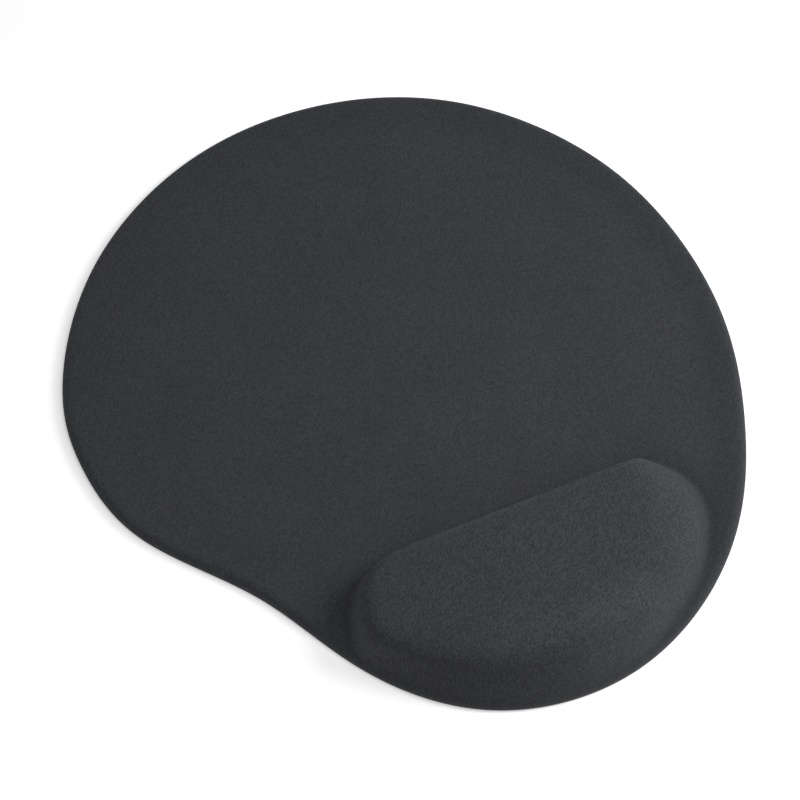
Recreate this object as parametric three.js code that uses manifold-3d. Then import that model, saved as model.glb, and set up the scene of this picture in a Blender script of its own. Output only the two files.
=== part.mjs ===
// A comma-shaped mouse mat with a gel wrist rest built into its near right-hand corner.
// Millimetres, +Z up. The origin is on the desk under the middle of the mat, and +Y points
// away from the user. The mat is a glued sandwich: a stretch-knit cover over a gel pouch and
// a foam sheet, on a non-slip base.
import * as THREE from 'three';
import { NURBSCurve } from 'three/addons/curves/NURBSCurve.js';
import { ParametricGeometry } from 'three/addons/geometries/ParametricGeometry.js';
import { mergeVertices } from 'three/addons/utils/BufferGeometryUtils.js';
import Module from 'manifold-3d';

// Driving dimensions.
const matTop = 4; // the mousing surface above the desk
const restTop = 20; // the top of the wrist rest above the desk
const coverThickness = 0.8;
const baseThickness = 1;
const filmThickness = 0.3;
const glueGap = 0.3; // room for adhesive between curved layers
const weldWidth = 1.2; // the flat rim where the two films of the gel pouch are welded
const hemHeight = 0.4; // the cover's cut edge stops this far above the desk
const edgeRadius = 3; // the roll of the cover over the mat's edge

// The mat's outline: a closed cubic B-spline drawn towards these points.
const matGuide = [
  [101, -54], [114, -12], [109.5, 35.5], [93, 72], [59.5, 106.5], [12, 122.5],
  [-39, 118.5], [-85.5, 90], [-110.5, 46.5], [-112, 19.5], [-106, -14.5], [-70.5, -46.5],
  [-56, -82.5], [-21.5, -117.5], [33.5, -123.5], [80, -93.5],
];

// The outline of the wrist rest's foot, drawn the same way. Its front follows the mat's edge.
const restGuide = [
  [65, -53], [53, -53], [-15, -53], [-45, -53], [-55, -78], [-47, -91],
  [-24, -111], [7, -121], [35, -117], [39, -113], [63, -101], [79, -72],
];
const restCentre = new THREE.Vector2(12, -83);

// The rest's wall leans in from its foot at wallAngle and rolls onto the flat top over an arc
// of rollRadius. Both change round the rest, with a value for each side.
const wallAngle = { back: 78, right: 57, front: 62, left: 70 };
const rollRadius = { back: 2.5, right: 30, front: 9.5, left: 7 };

// Facets.
const matSegments = 84;
const matRollSteps = 3;
const restSegments = 60;
const restRollSteps = 5;

const wasm = await Module();
wasm.setup();

/** A closed uniform cubic B-spline through the influence of the guide points. */
function closedSpline(guide) {
  const degree = 3;
  const wrapped = [...guide, ...guide.slice(0, degree)];
  const points = wrapped.map(([x, y]) => new THREE.Vector4(x, y, 0, 1));
  const knots = points.concat(Array(degree + 1)).map((_, index) => index);
  return new NURBSCurve(degree, [...knots.keys()], points, degree, points.length);
}

/** Evenly spaced points on the closed spline, counter-clockwise, without a repeated last one. */
function outlinePoints(guide, count) {
  const spaced = closedSpline(guide).getSpacedPoints(count).slice(0, count);
  return spaced.map((point) => new THREE.Vector2(point.x, point.y));
}

/** The outward normal at each point of a counter-clockwise outline. */
function outwardNormals(points) {
  return points.map((_, index) => {
    const before = points.at(index - 1);
    const after = points[(index + 1) % points.length];
    return new THREE.Vector2(after.y - before.y, before.x - after.x).normalize();
  });
}

/** The outline moved inwards by a distance. */
function inset(points, distance) {
  const normals = outwardNormals(points);
  return points.map((point, index) => point.clone().addScaledVector(normals[index], -distance));
}

/** A three.js geometry as a manifold solid, with its seams and poles closed. */
function toSolid(geometry) {
  geometry.deleteAttribute('normal');
  geometry.deleteAttribute('uv');
  const merged = mergeVertices(geometry, 1e-3);
  const corners = merged.index.array;
  const kept = [];
  for (let i = 0; i < corners.length; i += 3) {
    const [a, b, c] = corners.slice(i, i + 3);
    if (a !== b && b !== c && c !== a) kept.push(a, b, c);
  }
  const mesh = new wasm.Mesh({
    numProp: 3,
    vertProperties: merged.attributes.position.array,
    triVerts: new Uint32Array(kept),
  });
  return new wasm.Manifold(mesh);
}

/** A manifold solid as a named mesh with its own material. */
function toMesh(name, solid, material) {
  const { vertProperties, triVerts } = solid.getMesh();
  const geometry = new THREE.BufferGeometry();
  geometry.setAttribute('position', new THREE.BufferAttribute(vertProperties, 3));
  geometry.setIndex(new THREE.BufferAttribute(triVerts, 1));
  geometry.computeVertexNormals();
  const mesh = new THREE.Mesh(geometry, new THREE.MeshStandardMaterial(material));
  mesh.name = name;
  return mesh;
}

/** Everything below a height, as a block to cut away. */
function below(height) {
  const side = 400;
  const block = new THREE.BoxGeometry(side, side, side);
  return toSolid(block.translate(0, 0, height - side / 2));
}

/** A flat plate with the given outline. */
function plate(points, bottom, top) {
  const shape = new THREE.Shape(points);
  const geometry = new THREE.ExtrudeGeometry(shape, { depth: top - bottom, bevelEnabled: false });
  return toSolid(geometry.translate(0, 0, bottom));
}

/** A plate whose upper edge is rolled to a radius. The roll underneath is cut away. */
function rolledPlate(points, bottom, top, radius) {
  const geometry = new THREE.ExtrudeGeometry(new THREE.Shape(points), {
    depth: top - bottom,
    bevelThickness: radius,
    bevelSize: radius,
    bevelOffset: -radius,
    bevelSegments: matRollSteps,
  });
  geometry.translate(0, 0, bottom - radius);
  return toSolid(geometry).subtract(below(bottom));
}

/** The value for a direction between the four sides: cosine squared plus sine squared is one. */
function blendSides(sides, direction) {
  const across = direction.x > 0 ? sides.right : sides.left;
  const along = direction.y > 0 ? sides.back : sides.front;
  return across * direction.x ** 2 + along * direction.y ** 2;
}

const matOutline = outlinePoints(matGuide, matSegments);
const restFoot = outlinePoints(restGuide, restSegments);
const restNormals = outwardNormals(restFoot);

/**
 * The wrist rest's solid: a wall that leans in from the foot, an arc that rolls onto the top,
 * and a flat top. The foot is moved in by margin and the surface is lowered by depth, so one
 * function gives the cover's two faces, the film's two faces and the gel.
 */
function restSolid(margin, depth, bottom) {
  const foot = inset(restFoot, margin);
  const footHeight = matTop - depth;
  const top = restTop - depth;
  const wallRings = 3;
  const rings = wallRings + restRollSteps + 1;

  /** How far in from the foot, and how high, a ring of the wall and roll lies. */
  function wallPoint(normal, ring) {
    const lean = THREE.MathUtils.degToRad(blendSides(wallAngle, normal));
    const radius = Math.max(1, blendSides(rollRadius, normal) - depth);
    const reach = (top - footHeight) / Math.tan(lean) + radius * Math.tan(lean / 2);
    const turn = lean * (1 - (ring - wallRings) / restRollSteps);
    return [reach - radius * Math.sin(turn), top - radius * (1 - Math.cos(turn))];
  }

  function surface(u, v, target) {
    const index = Math.round(u * restSegments) % restSegments;
    const ring = Math.round(v * rings);
    const inwards = restCentre.clone().sub(foot[index]);
    const normal = restNormals[index];
    if (ring === 0) return target.set(restCentre.x, restCentre.y, bottom);
    if (ring === 1) return target.set(foot[index].x, foot[index].y, bottom);
    if (ring === 2) return target.set(foot[index].x, foot[index].y, footHeight);
    if (ring === rings) return target.set(restCentre.x, restCentre.y, top);
    const [reach, height] = wallPoint(normal, ring);
    const point = foot[index].clone().addScaledVector(inwards, reach / -inwards.dot(normal));
    return target.set(point.x, point.y, height);
  }

  return toSolid(new ParametricGeometry(surface, restSegments, rings));
}

/** The stretch-knit cover: one moulded sheet over the mat and the rest, open underneath. */
function fabricCover() {
  const mat = rolledPlate(matOutline, hemHeight, matTop, edgeRadius);
  const outside = mat.add(restSolid(0, 0, hemHeight));
  const innerOutline = inset(matOutline, coverThickness);
  const innerTop = matTop - coverThickness;
  const innerRadius = edgeRadius - coverThickness;
  const cavity = rolledPlate(innerOutline, 0, innerTop, innerRadius);
  return outside.subtract(cavity.add(restSolid(coverThickness, coverThickness, 0)));
}

const foamTop = matTop - coverThickness;
const layerMargin = coverThickness + glueGap;
const weldOutline = inset(restFoot, layerMargin + glueGap);
const pouchMargin = layerMargin + glueGap + weldWidth;
const pouchDepth = coverThickness + glueGap;

/** The foam sheet, with its upper edge rolled to lie under the cover. */
function foamCore() {
  const outline = inset(matOutline, layerMargin);
  return rolledPlate(outline, baseThickness, foamTop, edgeRadius - coverThickness);
}

/** The flat film that closes the gel pouch underneath. */
function lowerFilm() {
  return plate(weldOutline, foamTop, foamTop + filmThickness);
}

/** The formed film over the gel, with the flat rim that is welded to the lower film. */
function upperFilm() {
  const seat = foamTop + filmThickness;
  const rim = plate(weldOutline, seat, seat + filmThickness);
  const dome = restSolid(pouchMargin, pouchDepth, 0);
  const hollow = restSolid(pouchMargin + filmThickness, pouchDepth + filmThickness, 0);
  return rim.add(dome).subtract(hollow).subtract(below(seat));
}

/** The soft gel that fills the pouch. */
function gelPad() {
  const step = filmThickness + glueGap;
  const gel = restSolid(pouchMargin + step, pouchDepth + step, 0);
  return gel.subtract(below(foamTop + filmThickness));
}

/** The non-slip sheet underneath, just inside the cover's edge. */
function nonslipBase() {
  return plate(inset(matOutline, layerMargin), 0, baseThickness);
}

const charcoal = 0x3a3b3f;
const wristRest = new THREE.Group();
wristRest.add(
  toMesh('fabric_cover', fabricCover(), { color: charcoal, roughness: 0.95, metalness: 0 }),
  toMesh('upper_film', upperFilm(), { color: 0xd8dde0, roughness: 0.3, metalness: 0 }),
  toMesh('gel_pad', gelPad(), { color: 0x9fb9c9, roughness: 0.25, metalness: 0 }),
  toMesh('lower_film', lowerFilm(), { color: 0xd8dde0, roughness: 0.3, metalness: 0 }),
  toMesh('foam_core', foamCore(), { color: 0x2b2c2e, roughness: 0.95, metalness: 0 }),
  toMesh('nonslip_base', nonslipBase(), { color: 0x1b1c1e, roughness: 0.7, metalness: 0 }),
);

export default wristRest;
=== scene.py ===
# %% [markdown]
# # A comma-shaped mouse mat with a gel wrist rest
# The real object is a soft laminate with no screws and no moving parts. From the top down it is
# a charcoal stretch-knit cover, a pouch of soft gel between two welded films, a sheet of foam
# and a non-slip base. The engineering model gives the places and sizes. This script gives each
# layer its fine surface and its finish, then sets up the floor, the light and the camera.

# %% Load the frame
import math
from types import SimpleNamespace

import bpy
import numpy as np
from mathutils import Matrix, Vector
from mathutils.geometry import delaunay_2d_cdt


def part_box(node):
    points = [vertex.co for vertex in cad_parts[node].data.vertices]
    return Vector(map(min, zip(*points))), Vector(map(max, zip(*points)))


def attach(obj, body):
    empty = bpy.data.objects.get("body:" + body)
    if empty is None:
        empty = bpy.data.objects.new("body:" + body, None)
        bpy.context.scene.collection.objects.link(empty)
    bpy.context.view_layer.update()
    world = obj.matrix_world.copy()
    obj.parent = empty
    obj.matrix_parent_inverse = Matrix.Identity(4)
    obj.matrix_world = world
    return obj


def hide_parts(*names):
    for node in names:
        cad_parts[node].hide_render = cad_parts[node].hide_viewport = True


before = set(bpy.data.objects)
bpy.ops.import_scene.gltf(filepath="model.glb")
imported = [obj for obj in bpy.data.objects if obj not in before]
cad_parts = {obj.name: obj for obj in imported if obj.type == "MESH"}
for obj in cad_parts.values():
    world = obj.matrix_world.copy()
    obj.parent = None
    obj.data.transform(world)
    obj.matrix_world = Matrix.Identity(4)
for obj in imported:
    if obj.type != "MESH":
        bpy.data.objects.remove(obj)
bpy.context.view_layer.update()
print("nodes:", sorted(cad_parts))

# %% [markdown]
# ## Measures
# Everything is in metres. The heights come from the frame's own boxes, so the fine surfaces
# follow the engineering model when it changes. The cover is a 0.8 mm knit, and thin gaps
# between the curved layers stand for the adhesive.

# %% Measures
MM = 0.001
cover_low, cover_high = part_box("fabric_cover")
foam_low, foam_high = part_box("foam_core")
film_low, film_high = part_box("lower_film")

COVER_THICKNESS = 0.8 * MM
GLUE_GAP = 0.3 * MM
WELD_WIDTH = 1.2 * MM
EDGE_RADIUS = 3 * MM
FILM_THICKNESS = film_high.z - film_low.z
LAYER_MARGIN = COVER_THICKNESS + GLUE_GAP
HEM_HEIGHT = cover_low.z
MAT_TOP = foam_high.z + COVER_THICKNESS
REST_TOP = cover_high.z
SEAT = film_high.z
print(f"mat {MAT_TOP / MM:.1f} mm high, rest {REST_TOP / MM:.1f} mm, film {FILM_THICKNESS / MM:.1f} mm")

# %% [markdown]
# ## Two outlines
# The mat is cut to a comma shape, and the foot of the rest is a bean that shares the mat's near
# edge. Arcs could draw both, but a closed cubic B-spline needs only a few guide points, and its
# curvature never jumps. A soft sheen shows such jumps.

# %% Outlines
MAT_GUIDE = MM * np.array([
    (101, -54), (114, -12), (109.5, 35.5), (93, 72), (59.5, 106.5), (12, 122.5),
    (-39, 118.5), (-85.5, 90), (-110.5, 46.5), (-112, 19.5), (-106, -14.5), (-70.5, -46.5),
    (-56, -82.5), (-21.5, -117.5), (33.5, -123.5), (80, -93.5),
])
REST_GUIDE = MM * np.array([
    (65, -53), (53, -53), (-15, -53), (-45, -53), (-55, -78), (-47, -91),
    (-24, -111), (7, -121), (35, -117), (39, -113), (63, -101), (79, -72),
])
REST_CENTRE = MM * np.array([12, -83])


def closed_spline(guide, count=8192):
    """Points on a closed uniform cubic B-spline. Each is a weighted mean of four neighbouring
    guide points, with weights that are cubics of the way gone between the middle two."""
    place = np.arange(count) * len(guide) / count
    first = np.floor(place).astype(int)
    t = (place - first)[:, None]
    weights = ((1 - t) ** 3, 3 * t**3 - 6 * t**2 + 4, -3 * t**3 + 3 * t**2 + 3 * t + 1, t**3)
    near = [guide[(first + step) % len(guide)] for step in (-1, 0, 1, 2)]
    return sum(weight * point for weight, point in zip(weights, near)) / 6


def outward_normals(points):
    """Unit normals of a closed counter-clockwise outline: its tangents turned to the right."""
    tangent = np.roll(points, -1, axis=0) - np.roll(points, 1, axis=0)
    normal = np.stack([tangent[:, 1], -tangent[:, 0]], axis=1)
    return normal / np.linalg.norm(normal, axis=1, keepdims=True)


def along(points, values, turn):
    """Values at a share of the way round an outline, measured by length."""
    steps = np.linalg.norm(np.roll(points, -1, axis=0) - points, axis=1)
    share = np.concatenate([[0], np.cumsum(steps)]) / steps.sum()
    closed = np.concatenate([values, values[:1]])
    return np.stack([np.interp(turn % 1, share, column) for column in closed.T], axis=-1)


def around(points, values, direction):
    """Values where rays from the rest's centre in these directions meet an outline."""
    offset = points - REST_CENTRE
    angles = np.arctan2(offset[:, 1], offset[:, 0])
    wanted = np.arctan2(direction[:, 1], direction[:, 0])
    columns = [np.interp(wanted, angles, column, period=2 * math.pi) for column in values.T]
    return np.stack(columns, axis=-1)


mat_outline = closed_spline(MAT_GUIDE)
mat_normals = outward_normals(mat_outline)
rest_outline = closed_spline(REST_GUIDE)
rest_normals = outward_normals(rest_outline)
print("mat in mm:", (np.ptp(mat_outline, axis=0) / MM).round(1))
print("rest in mm:", (np.ptp(rest_outline, axis=0) / MM).round(1))

# %% [markdown]
# ## A square sheet bent into rings
# The cover runs from the middle of the rest out to the mat's edge. Rings and spokes would meet
# in a crowded pole in the middle. A square sheet has none: its nested squares are bent into
# nested rings, and every face stays a quad.


# %% The ring grid
def ring_grid(rings):
    """Ring (0 in the middle to 1 at the rim), turn (share of the way round) and quads of a
    square sheet. A point's ring is the larger of its two coordinates, and its turn follows the
    edge of the nested square that it lies on."""
    cells = 2 * rings
    line = np.linspace(-1, 1, cells + 1)
    across, up = (coordinate.ravel() for coordinate in np.meshgrid(line, line))
    ring = np.maximum(abs(across), abs(up))
    on_side = abs(across) >= abs(up)
    slant = np.where(on_side, up, -across) / np.where(ring > 0, ring, 1)
    quarter = np.where(on_side, np.where(across < 0, 2, 0), np.where(up < 0, 3, 1))
    slant = np.where(quarter >= 2, -slant, slant)
    turn = (quarter + slant / 2) / 4
    corner = np.arange(cells * (cells + 1)).reshape(cells, cells + 1)[:, :-1].ravel()
    quads = np.stack([corner, corner + 1, corner + cells + 2, corner + cells + 1], axis=1)
    return ring, turn, quads


def stretches(ring, counts):
    """How far each ring has gone, from 0 to 1, through each named stretch of rings."""
    stops = np.cumsum([0, *counts.values()]) / sum(counts.values())
    return {
        name: np.clip((ring - low) / (high - low), 0, 1)
        for name, low, high in zip(counts, stops, stops[1:])
    }


# %% [markdown]
# ## The side of the rest
# The rest's wall leans in from its foot and rolls onto the top. Its back is steep and crisp,
# its right end is one long slow roll, and the front and left lie between. One angle and one
# radius for each side are blended by the direction that the wall faces.

# %% The side of the rest
WALL_ANGLE = {"back": 78, "right": 57, "front": 62, "left": 70}
ROLL_RADIUS = {"back": 2.5, "right": 30, "front": 9.5, "left": 7}


def by_side(sides, normal):
    """A value for a direction between the sides. The squares of a unit vector's parts add up
    to one, so they are the weights."""
    across = np.where(normal[:, 0] > 0, sides["right"], sides["left"])
    up = np.where(normal[:, 1] > 0, sides["back"], sides["front"])
    return across * normal[:, 0] ** 2 + up * normal[:, 1] ** 2


def rest_side(turn, top, margin=0.0, depth=0.0):
    """The rays from the rest's centre to its foot at these turns, and the wall on each. The
    foot is moved in by margin, and the whole surface is lowered by depth."""
    foot = along(rest_outline, rest_outline, turn)
    normal = along(rest_outline, rest_normals, turn)
    offset = foot - margin * normal - REST_CENTRE
    reach = np.linalg.norm(offset, axis=1)
    direction = offset / reach[:, None]
    lean = np.radians(by_side(WALL_ANGLE, normal))
    radius = np.maximum(MM * by_side(ROLL_RADIUS, normal) - depth, MM)
    return SimpleNamespace(
        direction=direction,
        cosine=(normal * direction).sum(axis=1),
        foot=reach,
        lean=lean,
        radius=radius,
        roll=radius * np.sin(lean),
        run=(top - MAT_TOP) / np.tan(lean) + radius * np.tan(lean / 2),
        low=MAT_TOP - depth,
        high=top - depth,
    )


def rest_height(side, inwards):
    """Height at distances in from the foot, measured square to it: a straight wall, then an arc
    that meets it and the flat top without a corner."""
    left = side.run - inwards
    arc = side.high - side.radius + np.sqrt(side.radius**2 - np.clip(left, 0, side.roll) ** 2)
    return np.where(left > side.roll, side.low + inwards * np.tan(side.lean), arc)


def soft_max(a, b, width):
    """The larger of two values, eased by a parabola where they differ by less than the width."""
    near = np.maximum(width - abs(a - b), 0) / width
    return np.maximum(a, b) + near**2 * width / 4


# %% [markdown]
# ## The cover
# Along each ray the knit lies on the rest, rolls over its crest, leans down the wall, turns out
# onto the mat in a small hollow, and rolls over the mat's edge to a cut hem. The height is the
# larger of the mat's profile and the rest's, eased where they cross. So the hollow appears
# where there is room for it, and fades out along the front, where the wall meets the edge.
# The mould also pinches the foam round the foot, so the mat dips by 0.6 mm there. The dip is a
# parabola, deepest at the foot. A strip of mat outside the foot narrower than 4 mm has no dip,
# and from 12 mm on it has the full one.
# A laminate also curls: within 12 mm of its edge the mat rises by a third of a millimetre.

# %% The cover's shape
COVER_RINGS = {
    "top": 15, "roll": 8, "wall": 5, "hollow": 4, "dip": 4, "mat": 9, "edge": 4, "hem": 1,
}
HOLLOW = 1.0 * MM
HOLLOW_WIDTH = 2 * MM
NARROWEST_STRIP = 1.7 * MM
EDGE_SHARE_OF_STRIP = 0.55
DIP_DEPTH = 0.6 * MM
DIP_WIDTH = 6 * MM
DIP_LIP = 1.2 * MM
DIP_STRIP = 4 * MM
DIP_STRIP_FADE = 8 * MM
CURL_RISE = 0.35 * MM
CURL_WIDTH = 12 * MM


def dip(outwards, strip):
    """How far the mat is pinched down at a distance out from the rest's foot. A negative
    distance is under the rest, where the foam soon comes back to its full height."""
    gone = np.where(outwards > 0, outwards / DIP_WIDTH, -outwards / DIP_LIP)
    room = np.clip((strip - DIP_STRIP) / DIP_STRIP_FADE, 0, 1)
    return DIP_DEPTH * room * (1 - np.clip(gone, 0, 1)) ** 2


def cover_points(ring, turn, rest_top):
    """The cover's outer surface over the ring grid. The marks are distances from the rim, and
    they only place the rings: the height comes from the distance itself, except at the hem."""
    side = rest_side(turn, rest_top)
    rim = around(mat_outline, mat_outline, side.direction)
    rim_normal = around(mat_outline, mat_normals, side.direction)
    rim_reach = np.linalg.norm(rim - REST_CENTRE, axis=1)
    rim_cosine = (rim_normal * side.direction).sum(axis=1)
    strip = (rim_reach - side.foot) * rim_cosine
    strip = soft_max(strip, np.full_like(strip, NARROWEST_STRIP), MM)
    foot = strip / rim_cosine

    edge = np.minimum(EDGE_RADIUS, EDGE_SHARE_OF_STRIP * strip) / rim_cosine
    hollow = np.minimum(HOLLOW_WIDTH, 0.9 * (foot - edge))
    roll_start = foot + side.run / side.cosine
    wall_start = np.maximum(roll_start - side.roll / side.cosine, foot + hollow)
    hollow_end = foot - hollow
    dip_end = np.maximum(foot - DIP_WIDTH / side.cosine, edge + 0.5 * (hollow_end - edge))
    dip_end = np.minimum(dip_end, edge + 0.8 * (hollow_end - edge))
    marks = [rim_reach, roll_start, wall_start, foot + 0.8 * hollow, hollow_end, dip_end, edge]

    share = stretches(ring, COVER_RINGS)
    share["roll"] = np.sin(share["roll"] * side.lean) / np.sin(side.lean)
    share["edge"] = np.sin(share["edge"] * math.pi / 2)
    from_rim = marks[0].copy()
    for part, start, end in zip(share.values(), marks, [*marks[1:], 0]):
        from_rim += part * (end - start)

    inside = from_rim * rim_cosine
    left = EDGE_RADIUS - np.clip(inside, 0, EDGE_RADIUS)
    mat = MAT_TOP - EDGE_RADIUS + np.sqrt(EDGE_RADIUS**2 - left**2)
    mat += CURL_RISE * (1 - np.clip(inside / CURL_WIDTH, 0, 1)) ** 2
    inwards = (from_rim - foot) * side.cosine
    mat -= dip(-inwards, strip)
    rest = rest_height(side, inwards)
    height = soft_max(mat, rest, HOLLOW * np.tan(side.lean))
    height += share["hem"] * (HEM_HEIGHT - height)
    plan = REST_CENTRE + side.direction * (rim_reach - from_rim)[:, None]
    return np.column_stack([plan, height])


SWELL = 1.0 * MM
ring, turn, cover_quads = ring_grid(sum(COVER_RINGS.values()))
cover_start = cover_points(ring, turn, REST_TOP - SWELL)
print(f"cover: {len(cover_start)} points, {len(cover_quads)} quads")


# %% Objects from arrays
def make_piece(name, points, faces):
    """A new smooth object at the origin with these points and faces."""
    mesh = bpy.data.meshes.new(name)
    mesh.from_pydata(np.asarray(points, float).tolist(), [], np.asarray(faces).tolist())
    mesh.polygons.foreach_set("use_smooth", np.ones(len(mesh.polygons), bool))
    piece = bpy.data.objects.new(name, mesh)
    bpy.context.scene.collection.objects.link(piece)
    return piece


def points_of(mesh):
    """A mesh's points as an array."""
    flat = np.empty(3 * len(mesh.vertices), np.float32)
    mesh.vertices.foreach_get("co", flat)
    return flat.reshape(-1, 3).astype(float)


def modified_mesh(piece):
    """A new mesh of the piece with its modifiers applied."""
    shown = piece.evaluated_get(bpy.context.evaluated_depsgraph_get())
    return bpy.data.meshes.new_from_object(shown)


# %% [markdown]
# ## The cover settles
# The real cover is drawn over the gel and pushed out by it. A cloth simulation finds that
# shape: the knit is held along the mat, and everywhere else a light even pressure works on it.
# It starts 1 mm low, and what the simulation gives is the shape of the swelling. Its height is
# then set so that the top reaches the engineering model's. A sculpted crown could do the same,
# but it would not know that steep narrow walls yield less than the wide flat top.


# %% Cloth simulation
def settle(points, faces, held, steps=20):
    """How far each point moves when a light pressure pushes the held cloth outwards."""
    piece = make_piece("settling", points, faces)
    group = piece.vertex_groups.new(name="held")
    group.add(np.flatnonzero(held).tolist(), 1, "REPLACE")
    cloth = piece.modifiers.new("Cloth", "CLOTH")
    cloth.settings.vertex_group_mass = group.name
    cloth.settings.use_pressure = True
    cloth.settings.uniform_pressure_force = 4
    cloth.settings.effector_weights.gravity = 0
    cloth.settings.quality = 8
    cloth.point_cache.frame_end = steps
    for step in range(1, steps + 1):
        bpy.context.scene.frame_set(step)
    mesh = modified_mesh(piece)
    moved = points_of(mesh) - points
    bpy.data.objects.remove(piece)
    bpy.data.meshes.remove(mesh)
    bpy.context.scene.frame_set(1)
    return moved


WALL_END = sum(COVER_RINGS[name] for name in ("top", "roll", "wall")) / sum(COVER_RINGS.values())
swelling = settle(cover_start, cover_quads, ring >= WALL_END)
print("simulated rise in mm:", (swelling[:, 2].max() / MM).round(2))
print("largest move in mm:", (np.linalg.norm(swelling, axis=1).max() / MM).round(2))
swelling *= SWELL / swelling[:, 2].max()
print("kept move in mm:", (np.linalg.norm(swelling, axis=1).max() / MM).round(2))

# %% [markdown]
# One subdivision smooths the settled sheet. The subdivided mesh then gets the few soft folds
# that the stretched knit shows: a long shallow crease where the top turns down to the front, a
# shorter one beside it, and a short low ridge outside the far right of the rest.

# %% Subdivide and fold
FOLDS = [
    {"start": (-47, -70), "end": (35, -99), "width": 1.2, "rise": -0.12},
    {"start": (-38, -78.5), "end": (-19, -86.5), "width": 1.5, "rise": -0.08},
    {"start": (66, -53.5), "end": (79, -64), "width": 1.2, "rise": 0.15},
]


def fold_rise(plan, fold):
    """Rise of the cloth near a fold: a bell across it that fades out towards both ends."""
    start, end = MM * np.array(fold["start"]), MM * np.array(fold["end"])
    length = np.linalg.norm(end - start)
    forward = (end - start) / length
    offset = plan - start
    gone = offset @ forward / length
    aside = offset @ [-forward[1], forward[0]]
    fade = np.sin(np.clip(gone, 0, 1) * math.pi) ** 0.7
    return MM * fold["rise"] * fade * np.exp(-((aside / (MM * fold["width"])) ** 2))


cover = make_piece("knit_cover", cover_start + swelling, cover_quads)
smoothing = cover.modifiers.new("Smoothing", "SUBSURF")
smoothing.levels = smoothing.render_levels = 1
cover.data = modified_mesh(cover)
cover.modifiers.remove(smoothing)

cover_shape = points_of(cover.data)
for fold in FOLDS:
    cover_shape[:, 2] += fold_rise(cover_shape[:, :2], fold)
cover.data.vertices.foreach_set("co", cover_shape.astype(np.float32).ravel())
print("cover top in mm:", (cover_shape[:, 2].max() / MM).round(2), "points:", len(cover_shape))

# %% [markdown]
# A knit has no fixed place in space: it goes where the cloth goes. So the cover carries its own
# flat cloth coordinates. A deep-drawn cloth moves mostly straight down, which would stretch the
# pattern on the walls, and it also slides a little towards the drop, which relaxes that stretch.
# The slide is a fifth of the height, fading out towards the middle of the top.

# %% Cloth coordinates
SLIDE_ON_REST = 0.2
SLIDE_ON_EDGE = 0.6


def cloth_coordinates(points):
    """Where each point of the cover was on the flat knit: its plan position, moved along the
    ray from the rest's centre by a share of its height."""
    offset = points[:, :2] - REST_CENTRE
    reach = np.linalg.norm(offset, axis=1)
    direction = offset / np.maximum(reach, 1e-9)[:, None]
    foot = around(rest_outline, rest_outline, direction) - REST_CENTRE
    out = np.clip(reach / np.linalg.norm(foot, axis=1) / 0.7, 0, 1)
    ease = out**2 * (3 - 2 * out)
    above = np.maximum(points[:, 2] - MAT_TOP, 0)
    under = np.maximum(MAT_TOP - points[:, 2], 0)
    slide = SLIDE_ON_EDGE * under - SLIDE_ON_REST * above * ease
    return np.column_stack([points[:, :2] + direction * slide[:, None], points[:, 2]])


knit_place = cover.data.attributes.new("cloth", "FLOAT_VECTOR", "POINT")
knit_place.data.foreach_set("vector", cloth_coordinates(cover_shape).astype(np.float32).ravel())

# %% [markdown]
# Light and shade are painted into the cloth's colour in places. Painted light lies over the near
# right shoulder, below the long crease, as a painted highlight on the sharp crest at the back, and
# round the foot at the left, where it lifts the shadow. Painted shade lies in the rest of the
# foot's dip, on the front's wall, and in a band near the mat's edge. A second attribute says how
# much, above zero for painted light and below for painted shade.

# %% Painted light and shade on the knit
# Bands of painted light, and one of painted shade on the front wall; then painted shade by the rest's
# foot and near the mat's edge, weighted by the side they face.
PAINTED_BANDS = [
    {"start": (60, -88), "end": (61, -88), "width": 24, "gain": 0.8},
    {"start": (-12, -96.5), "end": (40, -101), "width": 5.5, "gain": 0.6},
    {"start": (22, -105), "end": (40, -100), "width": 8, "gain": 1.2},
    {"start": (-36, -57.2), "end": (58, -57.2), "width": 1.5, "gain": 1.0},
    {"start": (-34, -99), "end": (6, -116), "width": 6.5, "gain": -0.8},
]
FOOT_PAINTED_SHADE = {"back": 1.4, "right": 1.4, "front": 0.8, "left": -0.6}
FOOT_SHADE_FADE = 7 * MM
EDGE_PAINTED_SHADE = {"back": 0.6, "right": 1.0, "front": 0.3, "left": 0.0}
EDGE_SHADE_INSET = 8 * MM
EDGE_SHADE_WIDTH = 5 * MM
BAND_FADE = 4 * MM


def painted_band(plan, painted_shading):
    """A bell of the distance to a short line."""
    start, end = MM * np.array(painted_shading["start"]), MM * np.array(painted_shading["end"])
    span = end - start
    gone = np.clip((plan - start) @ span / (span @ span), 0, 1)
    away = np.linalg.norm(plan - start - gone[:, None] * span, axis=1)
    return painted_shading["gain"] * np.exp(-((away / (MM * painted_shading["width"])) ** 2))


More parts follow.
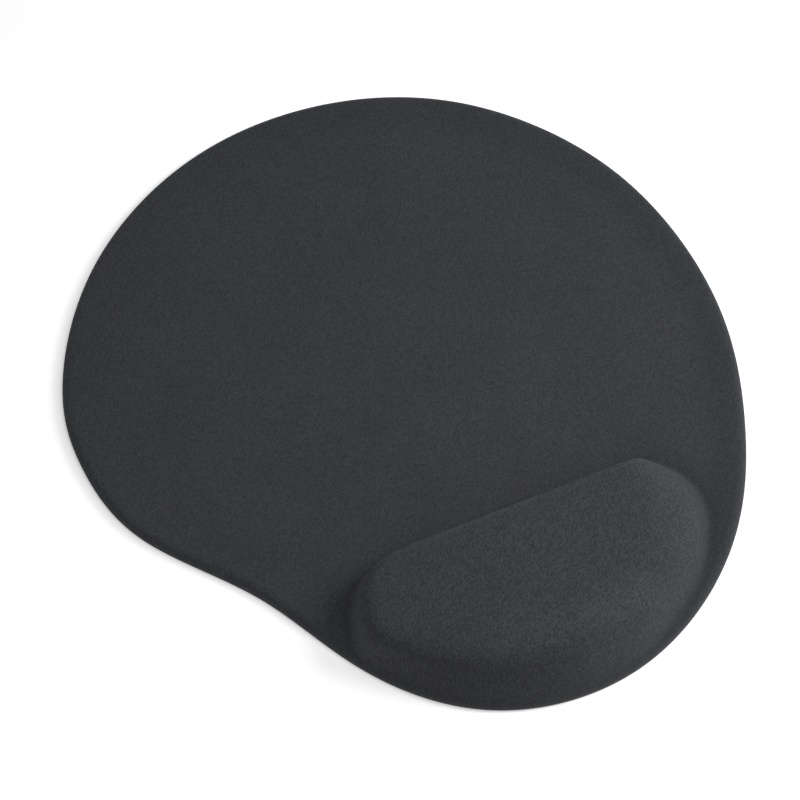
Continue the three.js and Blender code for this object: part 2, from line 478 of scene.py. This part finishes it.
def painted_light_and_shade(points):
    """The painted bands on the rest, less painted shade that fades out exponentially on both sides
    of the rest's foot, four times as fast up the wall, and is painted light at the left, and less
    a bell of painted shade along the mat's edge."""
    offset = points[:, :2] - REST_CENTRE
    reach = np.linalg.norm(offset, axis=1)
    direction = offset / np.maximum(reach, 1e-9)[:, None]
    foot = np.linalg.norm(around(rest_outline, rest_outline, direction) - REST_CENTRE, axis=1)
    rim = np.linalg.norm(around(mat_outline, mat_outline, direction) - REST_CENTRE, axis=1)
    foot_normal = around(rest_outline, rest_normals, direction)
    rim_normal = around(mat_outline, mat_normals, direction)
    outside = (reach - foot) * (foot_normal * direction).sum(axis=1)
    inside = (rim - reach) * (rim_normal * direction).sum(axis=1)
    band_shading = sum(painted_band(points[:, :2], painted_shading) for painted_shading in PAINTED_BANDS)
    on_rest = np.clip(-outside / BAND_FADE, 0, 1)
    # Painted shade round the rest's foot; at the left it is negative, which is painted light.
    foot_shading = by_side(FOOT_PAINTED_SHADE, foot_normal) * np.exp(-np.maximum(outside, -4 * outside) / FOOT_SHADE_FADE)
    # Painted shade in a band near the mat's edge.
    edge_shading = by_side(EDGE_PAINTED_SHADE, rim_normal) * np.exp(-(((inside - EDGE_SHADE_INSET) / EDGE_SHADE_WIDTH) ** 2))
    return on_rest * band_shading - foot_shading - edge_shading


light_and_shade_attribute = cover.data.attributes.new("light_and_shade", "FLOAT", "POINT")
light_and_shade = painted_light_and_shade(cover_shape)
light_and_shade_attribute.data.foreach_set("value", light_and_shade.astype(np.float32))
print("strain from", light_and_shade.min().round(2), "to", light_and_shade.max().round(2))

# %% Thickness
thickness = cover.modifiers.new("Cloth thickness", "SOLIDIFY")
thickness.thickness = COVER_THICKNESS
thickness.offset = -1
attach(cover, "root")
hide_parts("fabric_cover")

# %% [markdown]
# ## The gel pouch
# Under the knit, two films are welded round a soft gel. The upper film and the gel follow the
# rest's side, moved in and lowered, and they swell with the cover. The ring grid makes this
# easy: the middle of the cover's square sheet is the pouch's square sheet.

# %% Domes
DOME_RINGS = {name: COVER_RINGS[name] for name in ("top", "roll", "wall")}


def middle_of(field, rings):
    """The middle of a field on the cover's ring grid, for a ring grid with fewer rings."""
    total = sum(COVER_RINGS.values())
    square = field.reshape(2 * total + 1, 2 * total + 1, -1)
    keep = slice(total - rings, total + rings + 1)
    return square[keep, keep].reshape(-1, field.shape[1])


def dome_points(ring, turn, margin, depth, seat, counts):
    """A dome like the rest's, moved in and lowered, from its middle down to the seat. Rings
    past the wall go straight out from there, up to the weld's edge."""
    side = rest_side(turn, REST_TOP - SWELL, margin, depth)
    seat_in = (seat - side.low) / np.tan(side.lean)
    share = stretches(ring, counts)
    eased = np.sin(share["roll"] * side.lean) / np.sin(side.lean)
    marks = [side.foot * side.cosine, side.run, side.run - side.roll, seat_in]
    inwards = marks[0].copy()
    for part, start, end in zip((share["top"], eased, share["wall"]), marks, marks[1:]):
        inwards += part * (end - start)
    height = rest_height(side, inwards)
    weld_edge = LAYER_MARGIN + GLUE_GAP - margin
    inwards += share.get("rim", 0) * (weld_edge - seat_in)
    plan = REST_CENTRE + side.direction * (side.foot - inwards / side.cosine)[:, None]
    return np.column_stack([plan, height])


def close_below(points, faces, border, bottom):
    """Points and faces of a solid: the given surface, and a flat copy of it at the bottom that
    shares its border."""
    below = points.copy()
    below[:, 2] = bottom
    index = np.cumsum(~border) - 1 + len(points)
    index = np.where(border, np.arange(len(points)), index)
    closed = np.concatenate([points, below[~border]])
    return closed, np.concatenate([faces, index[faces][:, ::-1]])


dome_rings = sum(DOME_RINGS.values())
ring, turn, quads = ring_grid(dome_rings)
gel_margin = LAYER_MARGIN + GLUE_GAP + WELD_WIDTH + FILM_THICKNESS + GLUE_GAP
gel_depth = COVER_THICKNESS + FILM_THICKNESS + 2 * GLUE_GAP
gel_shape = dome_points(ring, turn, gel_margin, gel_depth, SEAT, DOME_RINGS)
fade = 1 - stretches(ring, DOME_RINGS)["wall"][:, None]
gel_shape += fade * middle_of(swelling, dome_rings)
gel = make_piece("soft_gel_pad", *close_below(gel_shape, quads, ring == 1, SEAT))
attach(gel, "root")
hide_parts("gel_pad")
print("gel in mm:", (np.ptp(gel_shape, axis=0) / MM).round(1))

# %%
FILM_RINGS = {**DOME_RINGS, "rim": 2}
film_rings = sum(FILM_RINGS.values())
ring, turn, quads = ring_grid(film_rings)
film_margin = LAYER_MARGIN + GLUE_GAP + WELD_WIDTH
film_depth = COVER_THICKNESS + GLUE_GAP
film_shape = dome_points(ring, turn, film_margin, film_depth, SEAT + FILM_THICKNESS, FILM_RINGS)
fade = 1 - stretches(ring, FILM_RINGS)["wall"][:, None]
film_shape += fade * middle_of(swelling, film_rings)
upper_film = make_piece("upper_pouch_film", film_shape, quads)
film_wall = upper_film.modifiers.new("Film thickness", "SOLIDIFY")
film_wall.thickness = FILM_THICKNESS
film_wall.offset = -1
film_wall.use_even_offset = True
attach(upper_film, "root")
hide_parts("upper_film")
print("film in mm:", (np.ptp(film_shape, axis=0) / MM).round(1))

# %% [markdown]
# ## Flat plates
# The lower film and the non-slip base are cut from flat sheet. A constrained triangulation
# fills their outlines. It also takes the small lozenges of the base's tread, so the tread is
# part of one closed skin: each lozenge is a stub 0.3 mm high with sloping sides, which grips a
# desk better than a smooth sheet and lets it be peeled off.


# %% Plates
def inset(points, normals, distance, count):
    """Evenly spaced points of an outline moved inwards."""
    turn = np.arange(count) / count
    return along(points, points - distance * normals, turn)


def triangulate(outline, stubs):
    """Triangles that fill an outline and keep the edges of the stubs' rings."""
    rings = [outline, *stubs]
    starts = np.cumsum([0] + [len(ring) for ring in rings])
    edges = [
        (start + step, start + (step + 1) % len(ring))
        for start, ring in zip(starts[1:].tolist(), rings[1:])
        for step in range(len(ring))
    ]
    points = [Vector(point) for point in np.concatenate(rings) / MM]
    face = list(range(len(outline)))
    _, _, triangles, sources, _, _ = delaunay_2d_cdt(points, edges, [face], 1, 1e-5)
    source = np.array([ids[0] for ids in sources])
    return source[np.array(triangles)]


def plate(name, outline, bottom, top, stubs=(), stub_heights=()):
    """A flat closed plate. Its underside may carry stubs, each given as a wide ring and a
    narrow one inside it, with their heights."""
    count = len(outline)
    under = np.concatenate([outline, *stubs])
    heights = np.concatenate([np.full(count, bottom), *stub_heights])
    over = np.column_stack([outline, np.full(count, top)])
    step = np.arange(count)
    ahead = (step + 1) % count
    first = len(under)
    walls = np.stack([step, ahead, first + ahead, first + step], axis=1)
    under_faces = triangulate(outline, stubs)[:, ::-1]
    over_faces = triangulate(outline, ()) + first
    mesh = bpy.data.meshes.new(name)
    points = np.concatenate([np.column_stack([under, heights]), over])
    faces = [*under_faces.tolist(), *over_faces.tolist(), *walls.tolist()]
    mesh.from_pydata(points.tolist(), [], faces)
    piece = bpy.data.objects.new(name, mesh)
    bpy.context.scene.collection.objects.link(piece)
    return piece


weld_outline = inset(rest_outline, rest_normals, LAYER_MARGIN + GLUE_GAP, 240)
lower_film = plate("lower_pouch_film", weld_outline, film_low.z, film_high.z)
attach(lower_film, "root")
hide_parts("lower_film")
print("lower film:", len(lower_film.data.polygons), "faces")

# %%
TREAD_PITCH = (6.0, 3.6)
TREAD_HEIGHT = 0.3 * MM
TREAD_MARGIN = 6 * MM
LOZENGE = MM * np.array([(2.2, 0), (0, 1.2), (-2.2, 0), (0, -1.2)])
base_outline = inset(mat_outline, mat_normals, LAYER_MARGIN, 400)


def tread_centres():
    """Centres of the stubs: staggered rows, kept clear of the base's edge."""
    wide, deep = (MM * pitch for pitch in TREAD_PITCH)
    columns, rows = np.meshgrid(np.arange(-20, 21), np.arange(-68, 69))
    centres = np.stack([columns * wide + (rows % 2) * wide / 2, rows * deep / 2], axis=-1)
    centres = centres.reshape(-1, 2)
    offset = centres - REST_CENTRE
    reach = np.linalg.norm(offset, axis=1)
    direction = offset / np.maximum(reach, 1e-9)[:, None]
    rim = around(mat_outline, mat_outline, direction)
    rim_cosine = (around(mat_outline, mat_normals, direction) * direction).sum(axis=1)
    inwards = (np.linalg.norm(rim - REST_CENTRE, axis=1) - reach) * rim_cosine
    return centres[inwards > TREAD_MARGIN]


centres = tread_centres()
stubs = [ring for centre in centres for ring in (centre + LOZENGE, centre + 0.7 * LOZENGE)]
stub_heights = [np.full(4, height) for _ in centres for height in (TREAD_HEIGHT, 0.0)]
base = plate("nonslip_base_sheet", base_outline, TREAD_HEIGHT, foam_low.z, stubs, stub_heights)
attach(base, "root")
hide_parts("nonslip_base")
print("stubs on the base:", len(centres), "faces:", len(base.data.polygons))

# %% [markdown]
# ## The foam sheet
# The foam gives the mat its thickness. Its upper edge is rolled, so the knit turns over it
# without a corner, and it is pinched round the rest's foot like the knit above it.

# %% Foam
FOAM_RINGS = {"under": 8, "lip": 3, "dip": 6, "flat": 9, "edge": 5}


def foam_points(ring, turn):
    """The foam's top, from the rest's centre to the rim, with the dip round the rest's foot and
    a quarter circle at the edge."""
    side = rest_side(turn, REST_TOP)
    direction = side.direction
    rim = around(mat_outline, mat_outline, direction)
    rim_normal = around(mat_outline, mat_normals, direction)
    cosine = (rim_normal * direction).sum(axis=1)
    reach = np.linalg.norm(rim - REST_CENTRE, axis=1) - LAYER_MARGIN / cosine
    radius = foam_high.z - foam_low.z
    edge = reach - radius / cosine
    foot = np.minimum(side.foot, edge)
    dip_end = np.minimum(foot + DIP_WIDTH / side.cosine, 0.5 * (foot + edge))
    marks = [0 * edge, foot - DIP_LIP / side.cosine, foot, dip_end, edge, edge]
    share = stretches(ring, FOAM_RINGS)
    out = marks[0].copy()
    for part, start, end in zip(share.values(), marks, marks[1:]):
        out += part * (end - start)
    left = radius * np.sin(share["edge"] * math.pi / 2)
    height = foam_low.z + np.sqrt(radius**2 - left**2)
    height -= dip((out - side.foot) * side.cosine, (reach - side.foot) * cosine)
    return np.column_stack([REST_CENTRE + direction * (out + left / cosine)[:, None], height])


ring, turn, quads = ring_grid(sum(FOAM_RINGS.values()))
foam_shape = foam_points(ring, turn)
foam = make_piece("foam_sheet", *close_below(foam_shape, quads, ring == 1, foam_low.z))
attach(foam, "root")
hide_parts("foam_core")
print("foam in mm:", (np.ptp(foam_shape, axis=0) / MM).round(1))

# %% [markdown]
# ## The soft pieces
# The knit was cut from flat cloth and stretched over the form. Its flat size is the mat's, plus
# the turned-down edge. The gel is a full, tight pad.


# %% [markdown]
# ## Materials
# Every finish is made of shader nodes whose scales are real lengths.

# %% Helpers
def colour(code):
    """Linear RGBA from an sRGB hex code."""
    parts = np.array([int(code[place : place + 2], 16) for place in (1, 3, 5)]) / 255
    linear = np.where(parts <= 0.04045, parts / 12.92, ((parts + 0.055) / 1.055) ** 2.4)
    return (*linear, 1.0)


def node(tree, kind, inputs=None, **settings):
    """Adds a shader node with its settings. An input is a value, or a node or socket to link."""
    made = tree.nodes.new("ShaderNode" + kind)
    for name, value in settings.items():
        setattr(made, name, value)
    for name, value in (inputs or {}).items():
        if isinstance(value, bpy.types.Node):
            value = value.outputs[0]
        if isinstance(value, bpy.types.NodeSocket):
            tree.links.new(value, made.inputs[name])
        else:
            made.inputs[name].default_value = value
    return made


def new_material(name):
    """An empty node material and its tree."""
    material = bpy.data.materials.new(name)
    material.use_nodes = True
    material.node_tree.nodes.clear()
    return material, material.node_tree


def finish_material(material, surface, *pieces):
    """Links the surface shader to the output and puts the material on the pieces."""
    node(material.node_tree, "OutputMaterial", {"Surface": surface})
    for piece in pieces:
        piece.data.materials.clear()
        piece.data.materials.append(material)


# %% [markdown]
# ### Stretch knit
# The cover is a fine polyester jersey. Its face is made of columns of V-shaped stitches, the
# wales, 0.75 mm apart, and they run across the mat at an angle because the comma was laid that
# way on the cloth. In one wale the yarn rises in two legs, which the absolute value of a sine
# gives. A second sine along the wale, delayed in step with the distance from the middle of the
# V, cuts the legs into slanting stitches. The height drives the bump, and it also darkens the
# grooves as painted shade.
# No two stitches catch the light alike, so each leg has its own random brightness, and uneven
# yarn adds a weaker mottle of a millimetre and soft clouds of five. Their sum, less its mean,
# is the grain, and it is stronger where the cloth is stretched over the rest. Fine fibres
# scatter light at grazing angles, which is the sheen.

# %% Knit material
WALE_PITCH = 0.75 * MM
COURSE_PITCH = 0.62 * MM
WALE_DIRECTION = math.radians(46)
LEG_SLANT = 1.6
LEG_DEPTH = 0.55
FIBRE_SHARE = 0.35
LEG_GAIN = 4.2
CLOUD_GAIN = 0.4
GRAIN_STRENGTH = 0.115

knit, tree = new_material("charcoal_polyester_jersey")
place = node(tree, "Attribute", attribute_name="cloth")
stitches = node(
    tree,
    "Mapping",
    {
        "Vector": place.outputs["Vector"],
        "Rotation": (0, 0, WALE_DIRECTION),
        "Scale": (COURSE_PITCH, WALE_PITCH, 1),
    },
    vector_type="TEXTURE",
)
axes = node(tree, "SeparateXYZ", {0: stitches})
wave = node(tree, "Math", {0: axes.outputs["Y"], 1: 2 * math.pi}, operation="MULTIPLY")
legs = node(tree, "Math", {0: node(tree, "Math", {0: wave}, operation="SINE")}, operation="ABSOLUTE")
from_middle = node(tree, "Math", {0: axes.outputs["Y"], 1: 0.5}, operation="PINGPONG")
delayed = node(
    tree, "Math", {0: from_middle, 1: LEG_SLANT, 2: axes.outputs["X"]}, operation="MULTIPLY_ADD"
)
turned = node(tree, "Math", {0: delayed, 1: math.pi}, operation="MULTIPLY")
sine = node(tree, "Math", {0: turned}, operation="SINE")
loops = node(tree, "Math", {0: sine}, operation="ABSOLUTE")
shaped = node(tree, "Math", {0: loops, 1: LEG_DEPTH, 2: 1 - LEG_DEPTH}, operation="MULTIPLY_ADD")
yarn = node(tree, "Math", {0: legs, 1: shaped}, operation="MULTIPLY")
fibres = node(
    tree, "TexNoise", {"Vector": place.outputs["Vector"], "Scale": 1 / (0.25 * MM), "Detail": 3}
)
height = node(
    tree, "Math", {0: fibres.outputs[0], 1: FIBRE_SHARE, 2: yarn}, operation="MULTIPLY_ADD"
)
relief = node(tree, "Bump", {"Height": height, "Distance": 0.10 * MM, "Strength": 1.0})

mottle = node(
    tree, "TexNoise", {"Vector": place.outputs["Vector"], "Scale": 1 / (1.2 * MM), "Detail": 2}
)
clouds = node(
    tree, "TexNoise", {"Vector": place.outputs["Vector"], "Scale": 1 / (5 * MM), "Detail": 2}
)
patches = node(
    tree, "TexNoise", {"Vector": place.outputs["Vector"], "Scale": 1 / (28 * MM), "Detail": 4}
)
halves = node(tree, "VectorMath", {0: stitches, 1: (1, 2, 1)}, operation="MULTIPLY")
leg = node(tree, "VectorMath", {0: halves}, operation="FLOOR")
luck = node(tree, "TexWhiteNoise", {"Vector": leg}, noise_dimensions="2D")
above = node(tree, "SeparateXYZ", {0: place.outputs["Vector"]})
uneven = node(
    tree,
    "MapRange",
    {"Value": above.outputs["Z"], "From Min": 4 * MM, "From Max": 12 * MM, "To Min": 1, "To Max": 1.3},
)
soft = node(
    tree,
    "Math",
    {0: clouds.outputs[0], 1: CLOUD_GAIN, 2: mottle.outputs[0]},
    operation="MULTIPLY_ADD",
)
blend = node(
    tree, "Math", {0: luck.outputs["Value"], 1: LEG_GAIN, 2: soft}, operation="MULTIPLY_ADD"
)
mean = (LEG_GAIN + CLOUD_GAIN + 1) / 2
centred = node(tree, "Math", {0: blend, 1: mean}, operation="SUBTRACT")
scaled = node(tree, "Math", {0: centred, 1: uneven}, operation="MULTIPLY")
grain = node(tree, "Math", {0: scaled, 1: GRAIN_STRENGTH, 2: 1.0}, operation="MULTIPLY_ADD")
tone = node(
    tree,
    "MapRange",
    {"Value": patches.outputs[0], "From Min": 0.3, "From Max": 0.7, "To Min": 0.95, "To Max": 1.05},
)
# Painted light and shade: the attribute lightens and darkens the knit's colour.
painted_shading = node(tree, "Attribute", attribute_name="light_and_shade")
painted_tone = node(
    tree,
    "MapRange",
    {"Value": painted_shading.outputs["Fac"], "From Min": -2, "From Max": 2, "To Min": 0.72, "To Max": 1.28},
)
# Painted shade: the grooves between the yarn legs are darkened with the relief's height.
groove_shade = node(
    tree,
    "MapRange",
    {"Value": height, "From Min": 0.1, "From Max": 1.1, "To Min": 0.62, "To Max": 1.32},
)
cloth_tone = node(tree, "Math", {0: tone, 1: grain}, operation="MULTIPLY")
place_tone = node(tree, "Math", {0: cloth_tone, 1: painted_tone}, operation="MULTIPLY")
shade = node(tree, "Math", {0: place_tone, 1: groove_shade}, operation="MULTIPLY")
tint = node(
    tree,
    "Mix",
    {0: 1.0, 6: colour("#343539"), 7: shade},
    data_type="RGBA",
    blend_type="MULTIPLY",
)
surface = node(
    tree,
    "BsdfPrincipled",
    {
        "Base Color": tint.outputs[2],
        "Roughness": 0.9,
        "Specular IOR Level": 0.25,
        "Sheen Weight": 0.12,
        "Sheen Roughness": 0.45,
        "Sheen Tint": colour("#C8CAD0"),
        "Normal": relief,
    },
)
finish_material(knit, surface, cover)

# %% [markdown]
# ### Pouch film, gel, foam and base
# The films are thin clear polyurethane with faint draw marks. The gel is a soft, slightly blue
# polyurethane gel. The foam is a dark open-cell sheet with pores of a third of a millimetre.
# The base is a dense rubbery polyurethane with a fine mottled skin.

# %% Film
film, tree = new_material("clear_polyurethane_film")
place = node(tree, "TexCoord")
draw = node(
    tree,
    "TexNoise",
    {"Vector": place.outputs["Object"], "Scale": 1 / (6 * MM), "Detail": 2, "Distortion": 0.6},
)
relief = node(tree, "Bump", {"Height": draw.outputs[0], "Distance": 0.05 * MM, "Strength": 0.5})
haze = node(tree, "MapRange", {"Value": draw.outputs[0], "To Min": 0.18, "To Max": 0.34})
surface = node(
    tree,
    "BsdfPrincipled",
    {
        "Base Color": colour("#D9DEE1"),
        "Roughness": haze,
        "IOR": 1.5,
        "Transmission Weight": 0.85,
        "Normal": relief,
    },
)
finish_material(film, surface, upper_film, lower_film)

# %% Gel
jelly, tree = new_material("soft_polyurethane_gel")
place = node(tree, "TexCoord")
cloud = node(tree, "TexNoise", {"Vector": place.outputs["Object"], "Scale": 1 / (9 * MM), "Detail": 3})
tint = node(
    tree,
    "Mix",
    {0: cloud.outputs[0], 6: colour("#8FAEC2"), 7: colour("#A9C4D3")},
    data_type="RGBA",
)
relief = node(tree, "Bump", {"Height": cloud.outputs[0], "Distance": 0.1 * MM, "Strength": 0.4})
surface = node(
    tree,
    "BsdfPrincipled",
    {
        "Base Color": tint.outputs[2],
        "Roughness": 0.2,
        "IOR": 1.47,
        "Transmission Weight": 0.6,
        "Normal": relief,
    },
)
finish_material(jelly, surface, gel)

# %% Foam
cells, tree = new_material("open_cell_polyurethane_foam")
place = node(tree, "TexCoord")
pores = node(tree, "TexVoronoi", {"Vector": place.outputs["Object"], "Scale": 1 / (0.35 * MM)})
relief = node(tree, "Bump", {"Height": pores.outputs["Distance"], "Distance": 0.15 * MM})
# Painted shade: the pores' hollows are darkened by the same field that sinks them.
tone = node(tree, "MapRange", {"Value": pores.outputs["Distance"], "To Min": 0.5, "To Max": 1.2})
tint = node(
    tree,
    "Mix",
    {0: 1.0, 6: colour("#2C2D2F"), 7: tone},
    data_type="RGBA",
    blend_type="MULTIPLY",
)
surface = node(
    tree, "BsdfPrincipled", {"Base Color": tint.outputs[2], "Roughness": 0.95, "Normal": relief}
)
finish_material(cells, surface, foam)

# %% Base
rubber, tree = new_material("rubbery_polyurethane_sheet")
place = node(tree, "TexCoord")
grain = node(
    tree, "TexNoise", {"Vector": place.outputs["Object"], "Scale": 1 / (0.4 * MM), "Detail": 4}
)
smears = node(
    tree, "TexNoise", {"Vector": place.outputs["Object"], "Scale": 1 / (18 * MM), "Detail": 3}
)
relief = node(tree, "Bump", {"Height": grain.outputs[0], "Distance": 0.05 * MM})
gloss = node(tree, "MapRange", {"Value": smears.outputs[0], "To Min": 0.5, "To Max": 0.75})
tint = node(
    tree,
    "Mix",
    {0: smears.outputs[0], 6: colour("#19191B"), 7: colour("#242527")},
    data_type="RGBA",
)
surface = node(
    tree, "BsdfPrincipled", {"Base Color": tint.outputs[2], "Roughness": gloss, "Normal": relief}
)
finish_material(rubber, surface, base)

# %% [markdown]
# ## Floor and light
# The mat lies on a plain pale floor: an acrylic sheet lit from below, as product studios use to
# keep shadows off it. It is set a twentieth of a millimetre low, clear of the base's tread. A
# large softbox stands low on the right and models the rest. It is aimed
# past the near edge, so its light fades towards the far side. A second softbox hangs overhead,
# and an even pale sky fills the shadows.

# %% Floor
FLOOR_HALF = 6.0
FLOOR_HEIGHT = -0.05 * MM
FLOOR_GLOW = 0.32
floor_mesh = bpy.data.meshes.new("floor")
floor_mesh.from_pydata(
    [(x * FLOOR_HALF, y * FLOOR_HALF, FLOOR_HEIGHT) for x, y in ((-1, -1), (1, -1), (1, 1), (-1, 1))],
    [],
    [(0, 1, 2, 3)],
)
floor = bpy.data.objects.new("floor", floor_mesh)
bpy.context.scene.collection.objects.link(floor)
acrylic, tree = new_material("backlit_white_acrylic")
place = node(tree, "TexCoord")
fleck = node(tree, "TexNoise", {"Vector": place.outputs["Object"], "Scale": 1 / (2 * MM), "Detail": 2})
tint = node(
    tree,
    "Mix",
    {0: fleck.outputs[0], 6: colour("#F2F2F2"), 7: colour("#F6F6F6")},
    data_type="RGBA",
)
surface = node(
    tree,
    "BsdfPrincipled",
    {
        "Base Color": tint.outputs[2],
        "Roughness": 1.0,
        "Specular IOR Level": 0.0,
        "Emission Color": colour("#FFFFFF"),
        "Emission Strength": FLOOR_GLOW,
    },
)
finish_material(acrylic, surface, floor)

# %% Light
TARGET = Vector((-3.2 * MM, 0.7 * MM, 0))
SKY_STRENGTH = 0.14


def softbox(name, azimuth, elevation, distance, size, power, aim):
    """A round soft light at angles and a distance from the target, facing the point aimed at."""
    data = bpy.data.lights.new(name, "AREA")
    data.shape = "DISK"
    data.size = size
    data.energy = power
    lamp = bpy.data.objects.new(name, data)
    across, up = math.radians(azimuth), math.radians(elevation)
    direction = (math.cos(across) * math.cos(up), math.sin(across) * math.cos(up), math.sin(up))
    lamp.location = TARGET + distance * Vector(direction)
    lamp.rotation_euler = (lamp.location - Vector(aim)).to_track_quat("Z", "Y").to_euler()
    bpy.context.scene.collection.objects.link(lamp)


softbox(
    "side_softbox",
    azimuth=-12,
    elevation=37.3,
    distance=0.82,
    size=0.45,
    power=5.25,
    aim=(0.06, -0.38, 0),
)
softbox(
    "overhead_softbox",
    azimuth=-38,
    elevation=80,
    distance=0.56,
    size=0.5,
    power=1.75,
    aim=(0.05, 0, 0),
)

world = bpy.data.worlds.new("studio")
world.use_nodes = True
sky = world.node_tree.nodes["Background"]
sky.inputs["Color"].default_value = (1, 1, 1, 1)
sky.inputs["Strength"].default_value = SKY_STRENGTH
bpy.context.scene.world = world
bpy.context.scene.view_settings.view_transform = "Standard"

# %% [markdown]
# ## Camera
# The camera looks down at 64 degrees from the near left, so the rest is in front.

# %% Camera
AZIMUTH = math.radians(-22.7)
ELEVATION = math.radians(64)
CAMERA_DISTANCE = 0.881
backwards = Vector((
    math.sin(AZIMUTH) * math.cos(ELEVATION),
    -math.cos(AZIMUTH) * math.cos(ELEVATION),
    math.sin(ELEVATION),
))
camera_data = bpy.data.cameras.new("camera")
camera_data.sensor_width = 36
camera_data.lens = 117.45
camera = bpy.data.objects.new("camera", camera_data)
camera.location = TARGET + CAMERA_DISTANCE * backwards
camera.rotation_euler = backwards.to_track_quat("Z", "Y").to_euler()
bpy.context.scene.collection.objects.link(camera)
bpy.context.scene.camera = camera
